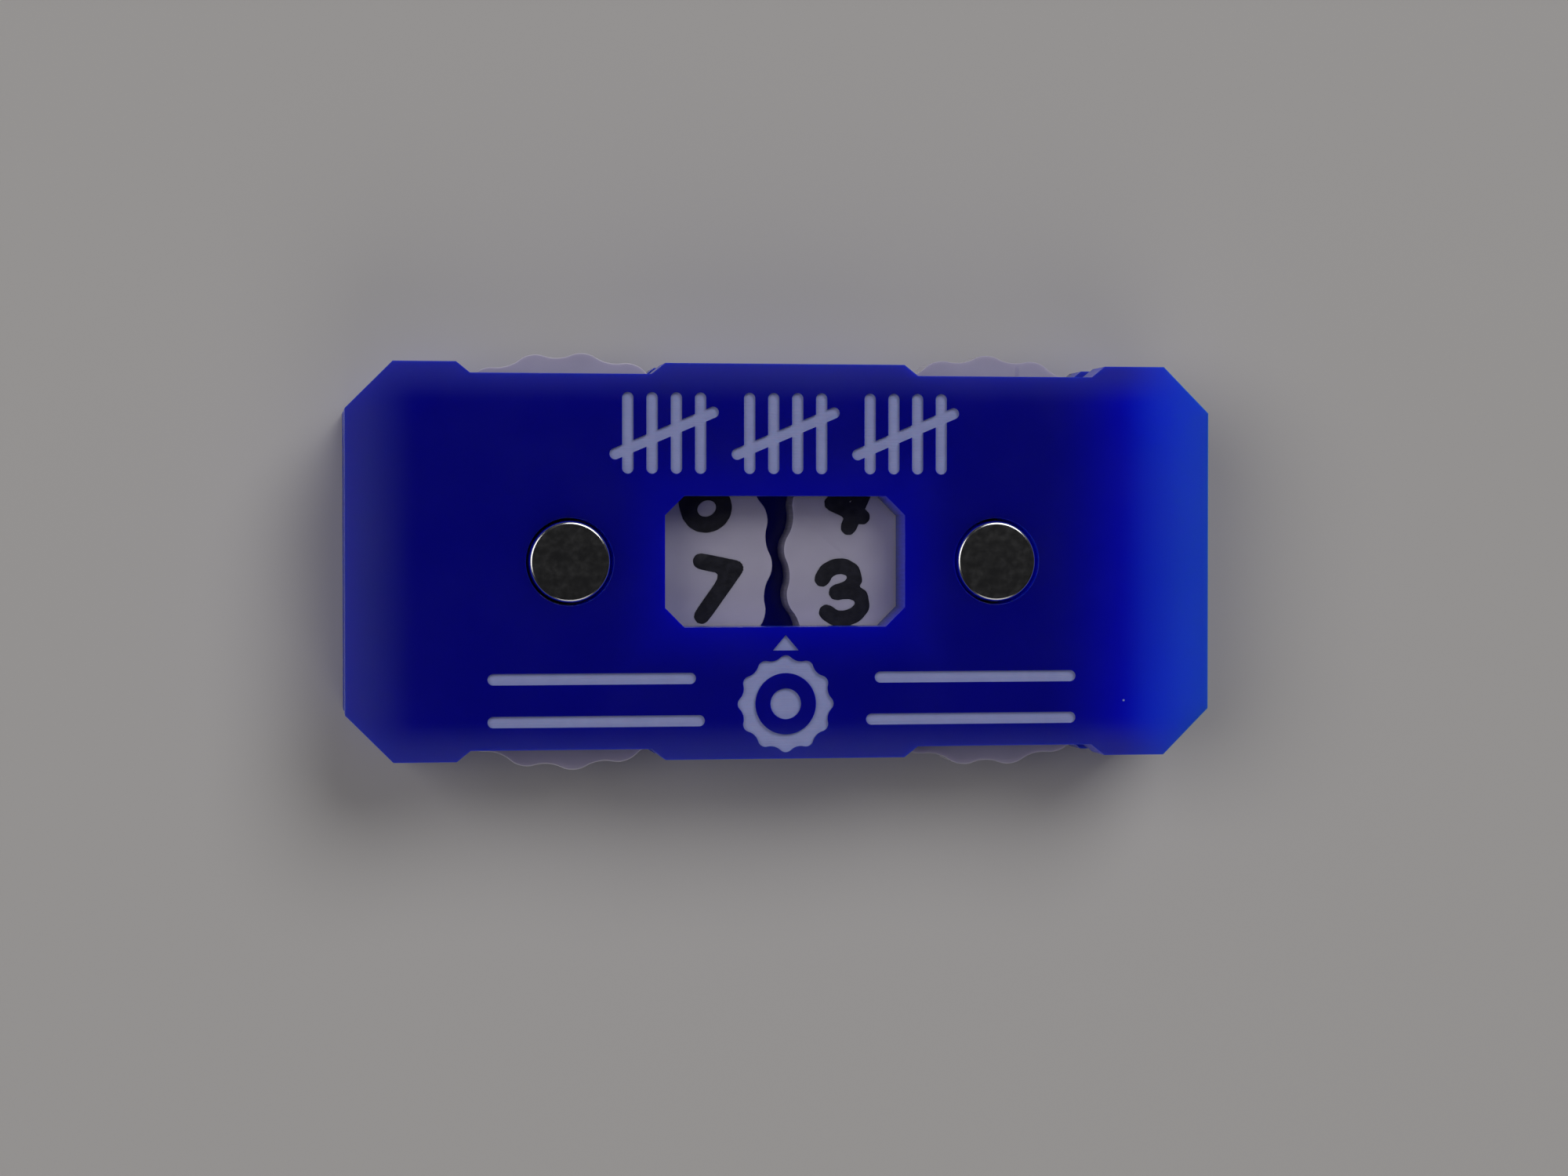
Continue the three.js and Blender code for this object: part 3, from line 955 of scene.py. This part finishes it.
@dataclass
class TopPlate(Plate):
    """The upper plate, with the reading window and the engraving."""

    window_half_length: float = 7.5 * MM
    window_half_width: float = 4.05 * MM
    window_corner: float = 1.2 * MM
    tally_groups: int = 3
    tally_group_pitch: float = 7.55 * MM
    tally_strokes: int = 4
    tally_pitch: float = 1.5 * MM
    tally_low: float = 5.4 * MM
    tally_high: float = 10.4 * MM
    slash_half_run: float = 3.35 * MM
    slash_half_rise: float = 1.42 * MM
    stripe_rows: tuple[Spot, ...] = ((-7.19 * MM, 5.6 * MM), (-9.8 * MM, 5.05 * MM))
    stripe_end: float = 18.4 * MM
    badge_top: float = -5.75 * MM
    badge_bottom: float = -11.85 * MM
    badge_lobes: int = 12
    badge_lobe_height: float = 0.3 * MM
    badge_ring_width: float = 1.15 * MM
    badge_hub_gap: float = 0.95 * MM
    badge_hub_sides: int = 48
    pointer_tip: float = -4.55 * MM
    pointer_height: float = 0.95 * MM
    pointer_width: float = 1.6 * MM

    def details(self, obj: bpy.types.Object) -> None:
        """Cuts the reading window, its corners cut off like the plate's own.

        Args:
            obj: the plate, edges still sharp.
        """
        half = Vector((self.window_half_length, self.window_half_width, 0))
        window = Workbench.block(
            "window_cutter",
            Vector((-half.x, -half.y, self.low.z - self.overrun)),
            Vector((half.x, half.y, self.high.z + self.overrun)),
        )
        with Workbench.editing(window):
            Workbench.pick_edges(window, Workbench.upright)
            bpy.ops.mesh.bevel(offset=self.window_corner, segments=1, affect="EDGES")
        Workbench.carve(obj, window, self.palette.blue)

    def marks(self, obj: bpy.types.Object) -> None:
        """Cuts the tally marks, the stripes and the badge.

        Args:
            obj: the rounded plate.
        """
        cutter = MarkCutter(self.high.z)
        for mark in (*self.tally(cutter), *self.stripes(cutter), *self.badge(cutter)):
            Workbench.carve(obj, mark, self.palette.marks)

    def tally(self, cutter: MarkCutter) -> list[bpy.types.Object]:
        """Groups of upright strokes, each crossed by a slash.

        Args:
            cutter: makes the strokes.

        Returns:
            The cutters.
        """
        made = []
        middle = (self.tally_low + self.tally_high) / 2
        for group in range(self.tally_groups):
            x = (group - (self.tally_groups - 1) / 2) * self.tally_group_pitch
            for stroke in range(self.tally_strokes):
                at = x + (stroke - (self.tally_strokes - 1) / 2) * self.tally_pitch
                made.append(cutter.stroke((at, self.tally_low), (at, self.tally_high)))
            made.append(
                cutter.stroke(
                    (x - self.slash_half_run, middle - self.slash_half_rise),
                    (x + self.slash_half_run, middle + self.slash_half_rise),
                )
            )
        return made

    def stripes(self, cutter: MarkCutter) -> list[bpy.types.Object]:
        """Two stripes on each side of the badge.

        Args:
            cutter: makes the strokes.

        Returns:
            The cutters.
        """
        return [
            cutter.stroke((side.sign * start, y), (side.sign * self.stripe_end, y))
            for side in Side
            for y, start in self.stripe_rows
        ]

    def badge(self, cutter: MarkCutter) -> list[bpy.types.Object]:
        """A small lobed wheel with a hub, and a pointer above it aimed at the window.

        Args:
            cutter: gives the height and depth of the marks.

        Returns:
            The cutters.
        """
        low, high = cutter.top - cutter.depth, cutter.top + cutter.reach
        centre = (0.0, (self.badge_top + self.badge_bottom) / 2)
        radius = (self.badge_top - self.badge_bottom) / 2
        wheel = lobed_drum(
            "badge_cutter", centre, radius, self.badge_lobe_height, self.badge_lobes,
            math.pi / 2, low, high,
        )
        inside = radius - self.badge_ring_width
        island = Workbench.drum("island", centre, inside, low - cutter.reach, high + cutter.reach)
        Workbench.carve(wheel, island, self.palette.marks)
        hub = Workbench.drum(
            "hub_cutter", centre, inside - self.badge_hub_gap, low, high, self.badge_hub_sides
        )
        pointer = Workbench.drum("pointer_cutter", (0, 0), 1, low, high, 3, math.pi / 2)
        # A three-sided drum of radius 1 is 1.5 high and the root of 3 wide.
        tip_to_axis = self.pointer_height / 1.5
        pointer.scale = (self.pointer_width / math.sqrt(3), tip_to_axis, 1)
        pointer.location.y = self.pointer_tip - tip_to_axis
        Workbench.settle(pointer)
        return [wheel, hub, pointer]


def lobed_drum(
    name: str, centre: Spot, crest: float, lobe_height: float, lobes: int, first: float,
    low: float, high: float,
) -> bpy.types.Object:
    """A drum with a smooth wavy rim: a zigzag drum whose upright edges are rounded together.

    Args:
        name: the object's name.
        centre: the axis's place in X and Y.
        crest: the radius over the crests.
        lobe_height: crest to trough.
        lobes: how many lobes there are.
        first: the angle of the first crest from +X, in radians.
        low: the height of its underside.
        high: the height of its top.

    Returns:
        The new object.
    """
    # Rounding over a whole side leaves half of a zigzag's height, so the zigzag is twice as deep.
    outer = crest + lobe_height / 2
    inner = crest - 1.5 * lobe_height
    obj = Workbench.drum(name, centre, outer, low, high, 2 * lobes, first)
    step = math.pi / lobes
    with Workbench.editing(obj):
        def in_trough(place: Vector) -> bool:
            """Whether a corner belongs to a trough.

            Args:
                place: where the corner is.

            Returns:
                True in a trough, False on a crest.
            """
            angle = math.atan2(place.y - centre[1], place.x - centre[0]) - first
            return round(angle / step) % 2 == 1

        Workbench.pick_verts(obj, in_trough)
        bpy.ops.transform.resize(
            value=(inner / outer, inner / outer, 1), center_override=(*centre, 0)
        )
        Workbench.pick_edges(obj, Workbench.upright)
        bpy.ops.mesh.bevel(
            offset_type="PERCENT", offset_pct=LOBE_ROUNDING, segments=LOBE_SEGMENTS,
            profile=0.5, affect="EDGES",
        )
        bpy.ops.mesh.select_all(action="SELECT")
        bpy.ops.mesh.remove_doubles(threshold=LOBE_MERGE)
    return obj


@dataclass
class NumberDial:
    """One opal dial with its lobed rim, bore and ten enamel-filled numbers."""

    side: Side
    palette: Palette
    first_crest: float
    lobes: int = 25
    crest_radius: float = 13.05 * MM
    lobe_height: float = 0.42 * MM
    bore_radius: float = 2.6 * MM
    edge_round: float = 0.07 * MM
    edge_segments: int = 3
    fill_gap: float = 0.015 * MM
    fill_proud: float = 0.012 * MM
    fill_round: float = 0.03 * MM
    fill_segments: int = 2
    facet_merge: float = 0.02 * MM
    facet_share: float = 28
    facet_segments: int = 3
    overrun: float = 1 * MM

    def __post_init__(self) -> None:
        """Reads the dial's box and axis from the frame."""
        self.node = f"{self.side.label}_dial"
        self.low, self.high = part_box(self.node)
        axis = axis_of(self.side)
        self.centre = (axis.x, axis.y)

    def number(self, digit: int) -> bpy.types.Object:
        """The enamel of one number, its facets rounded and its rim softened.

        Args:
            digit: which number.

        Returns:
            The piece.
        """
        node = f"{self.side.label}_digit_{digit}"
        Workbench.only(frame["nodes"][node])
        bpy.ops.object.duplicate()
        obj = bpy.context.object
        obj.parent = None
        obj.name = f"{self.side.label}_painted_{digit}"
        del obj["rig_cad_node"]
        top = self.high.z
        with Workbench.editing(obj):
            bpy.ops.mesh.select_all(action="SELECT")
            bpy.ops.mesh.remove_doubles(threshold=self.facet_merge)
            bpy.ops.mesh.dissolve_limited(angle_limit=math.radians(1))
            Workbench.pick_edges(obj, Workbench.upright)
            bpy.ops.mesh.bevel(
                offset_type="PERCENT", offset_pct=self.facet_share,
                segments=self.facet_segments, profile=0.5, affect="EDGES",
            )
            Workbench.pick_verts(obj, lambda place: abs(place.z - top) < MERGE)
            bpy.ops.transform.translate(value=(0, 0, self.fill_proud))
        obj.data.materials.clear()
        obj.data.materials.append(self.palette.enamel)
        return obj

    def pocket_cutter(self, number: bpy.types.Object) -> bpy.types.Object:
        """A copy of a number, grown by its gap and standing out of the dial.

        Args:
            number: the number's enamel.

        Returns:
            The cutter.
        """
        Workbench.only(number)
        bpy.ops.object.duplicate()
        obj = bpy.context.object
        with Workbench.editing(obj):
            bpy.ops.mesh.select_all(action="SELECT")
            bpy.ops.transform.shrink_fatten(value=self.fill_gap)
            Workbench.pick_verts(obj, lambda place: place.z > self.high.z - self.fill_gap)
            bpy.ops.transform.translate(value=(0, 0, self.overrun))
        return obj

    def build(self) -> list[bpy.types.Object]:
        """Models the dial and its numbers and hands them over.

        Returns:
            The dial, then its numbers.
        """
        dial = lobed_drum(
            f"{self.side.label}_number_dial", self.centre, self.crest_radius,
            self.lobe_height, self.lobes, self.first_crest, self.low.z, self.high.z,
        )
        dial.data.materials.append(self.palette.opal)
        bore = Workbench.drum(
            "bore_cutter", self.centre, self.bore_radius,
            self.low.z - self.overrun, self.high.z + self.overrun,
        )
        Workbench.carve(dial, bore, self.palette.opal)
        Workbench.round_edges(dial, self.edge_round, self.edge_segments)
        Workbench.dress_walls(dial, self.palette.opal_wall)
        numbers = [self.number(digit) for digit in range(10)]
        for number in numbers:
            Workbench.carve(dial, self.pocket_cutter(number), self.palette.enamel)
        Workbench.smooth(dial)
        hand_over(dial, self.side.body, Slot.OPAL, self.node)
        for digit, number in enumerate(numbers):
            Workbench.clean(number)
            Workbench.round_edges(number, self.fill_round, self.fill_segments)
            Workbench.clean(number)
            Workbench.smooth(number)
            node = f"{self.side.label}_digit_{digit}"
            hand_over(number, self.side.body, Slot.ENAMEL, node)
        return [dial, *numbers]


@dataclass
class DiscMagnet:
    """One plated disc magnet with its rounded chamfer."""

    side: Side
    layer: Layer
    palette: Palette
    chamfer: float = 0.22 * MM
    chamfer_segments: int = 4
    chamfer_profile: float = 0.55

    def build(self) -> bpy.types.Object:
        """Models the magnet and hands it over.

        Returns:
            The finished piece.
        """
        node = f"{self.side.label}_{self.layer.value}_magnet"
        low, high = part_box(node)
        centre = (low + high) / 2
        obj = Workbench.drum(
            f"{self.side.label}_{self.layer.value}_disc", (centre.x, centre.y),
            (high.x - low.x) / 2, low.z, high.z,
        )
        obj.data.materials.append(self.palette.nickel)
        with Workbench.editing(obj):
            Workbench.pick_edges(obj, lambda a, b: abs(a.z - b.z) < MERGE)
            bpy.ops.mesh.bevel(
                offset=self.chamfer, segments=self.chamfer_segments,
                profile=self.chamfer_profile, affect="EDGES",
            )
        Workbench.smooth(obj)
        hand_over(obj, "case", Slot.NICKEL, node)
        return obj


@dataclass(frozen=True)
class SoftLamp:
    """One wide soft lamp that shines on the counter from far off.

    Its spread is how wide it looks from the counter, in degrees, and its power is in watts on
    a square metre.
    """

    name: str
    place: Place
    spread: float
    power: float
    tint: Colour

    def hang(self) -> None:
        """Hangs the lamp and aims it at the counter."""
        bpy.ops.object.light_add(type="SUN", location=self.place)
        lamp = bpy.context.object
        lamp.name = self.name
        lamp.rotation_euler = Vector(self.place).to_track_quat("Z", "Y").to_euler()
        lamp.data.angle = math.radians(self.spread)
        lamp.data.energy = self.power
        lamp.data.color = self.tint


@dataclass
class Studio:
    """The pale floor, the soft lamps, the walls and the camera."""

    floor_half: float = 4.0
    floor_colour: Colour = (0.48, 0.465, 0.452)
    floor_shade: float = 0.97
    floor_blotch: float = 90 * MM
    floor_roughness: float = 0.6
    wall_colour: Colour = (0.95, 0.96, 1.0)
    wall_light: float = 0.26
    ceiling_light: float = 0.012
    wall_span: Span = (0.05, 0.55)
    lamps: tuple[SoftLamp, ...] = (
        SoftLamp("key_window", (0.20, 0.34, 0.46), 36, 1.22, (0.98, 0.99, 1.0)),
        SoftLamp("left_fill", (-0.36, 0.10, 0.44), 40, 0.86, (1.0, 0.98, 0.98)),
        SoftLamp("front_fill", (0.10, -0.44, 0.38), 40, 0.34, (1.0, 0.98, 0.98)),
    )
    eye: Vector = field(default_factory=lambda: Vector((-30.35, 1.74, 200.42)) * MM)
    aim: Vector = field(default_factory=lambda: Vector((-0.11, -1.64, 9.0)) * MM)
    lens: float = 72
    clip_start: float = 0.01

    def build(self) -> None:
        """Sets the whole stage."""
        self.floor()
        self.world()
        for lamp in self.lamps:
            lamp.hang()
        self.camera()

    def floor(self) -> None:
        """Lays the pale floor just under the counter."""
        bpy.ops.object.select_all(action="DESELECT")
        bpy.ops.mesh.primitive_plane_add(size=2 * self.floor_half)
        floor = bpy.context.object
        floor.name = "floor"
        board = Finish("pale_floor")
        tint = board.noise(self.floor_blotch, 2)
        darker = tuple(self.floor_shade * part for part in self.floor_colour)
        board.wire(board.mix(tint, darker, self.floor_colour), "Base Color")
        board.set(Roughness=self.floor_roughness)
        floor.data.materials.append(board.material)

    def world(self) -> None:
        """Surrounds the room with pale walls under a dark ceiling."""
        world = bpy.data.worlds.new("pale_walls")
        world.use_nodes = True
        nodes, links = world.node_tree.nodes, world.node_tree.links
        coords = nodes.new("ShaderNodeTexCoord")
        split = nodes.new("ShaderNodeSeparateXYZ")
        fade = nodes.new("ShaderNodeMapRange")
        fade.interpolation_type = "SMOOTHSTEP"
        for name, number in (
            ("From Min", self.wall_span[0]), ("From Max", self.wall_span[1]),
            ("To Min", self.wall_light), ("To Max", self.ceiling_light),
        ):
            fade.inputs[name].default_value = number
        links.new(coords.outputs["Generated"], split.inputs[0])
        links.new(split.outputs["Z"], fade.inputs["Value"])
        background = nodes["Background"]
        background.inputs["Color"].default_value = (*self.wall_colour, 1)
        links.new(fade.outputs["Result"], background.inputs["Strength"])
        bpy.context.scene.world = world
        bpy.context.scene.view_settings.view_transform = "Standard"

    def camera(self) -> None:
        """Looks down at the counter from a little to its left, its back edge uppermost."""
        data = bpy.data.cameras.new("camera")
        data.lens = self.lens
        data.clip_start = self.clip_start
        obj = bpy.data.objects.new("camera", data)
        forward = (self.aim - self.eye).normalized()
        right = forward.cross(Vector((0, 1, 0))).normalized()
        up = right.cross(forward)
        turn = Matrix((right, up, -forward)).transposed()
        obj.matrix_world = Matrix.Translation(self.eye) @ turn.to_4x4()
        bpy.context.scene.collection.objects.link(obj)
        bpy.context.scene.camera = obj


def main() -> None:
    """Builds the plates, the dials, the magnets and the stage."""
    logging.basicConfig(level=logging.INFO, format="%(name)s: %(message)s")
    palette = Palette()
    Plate("bottom_plate", "lower_blue_plate", palette).build()
    TopPlate("top_plate", "upper_blue_plate", palette).build()
    for side, first_crest in FIRST_CRESTS.items():
        NumberDial(side, palette, math.radians(first_crest)).build()
    for side in Side:
        for layer in Layer:
            DiscMagnet(side, layer, palette).build()
    Studio().build()


if __name__ == "__main__":
    main()
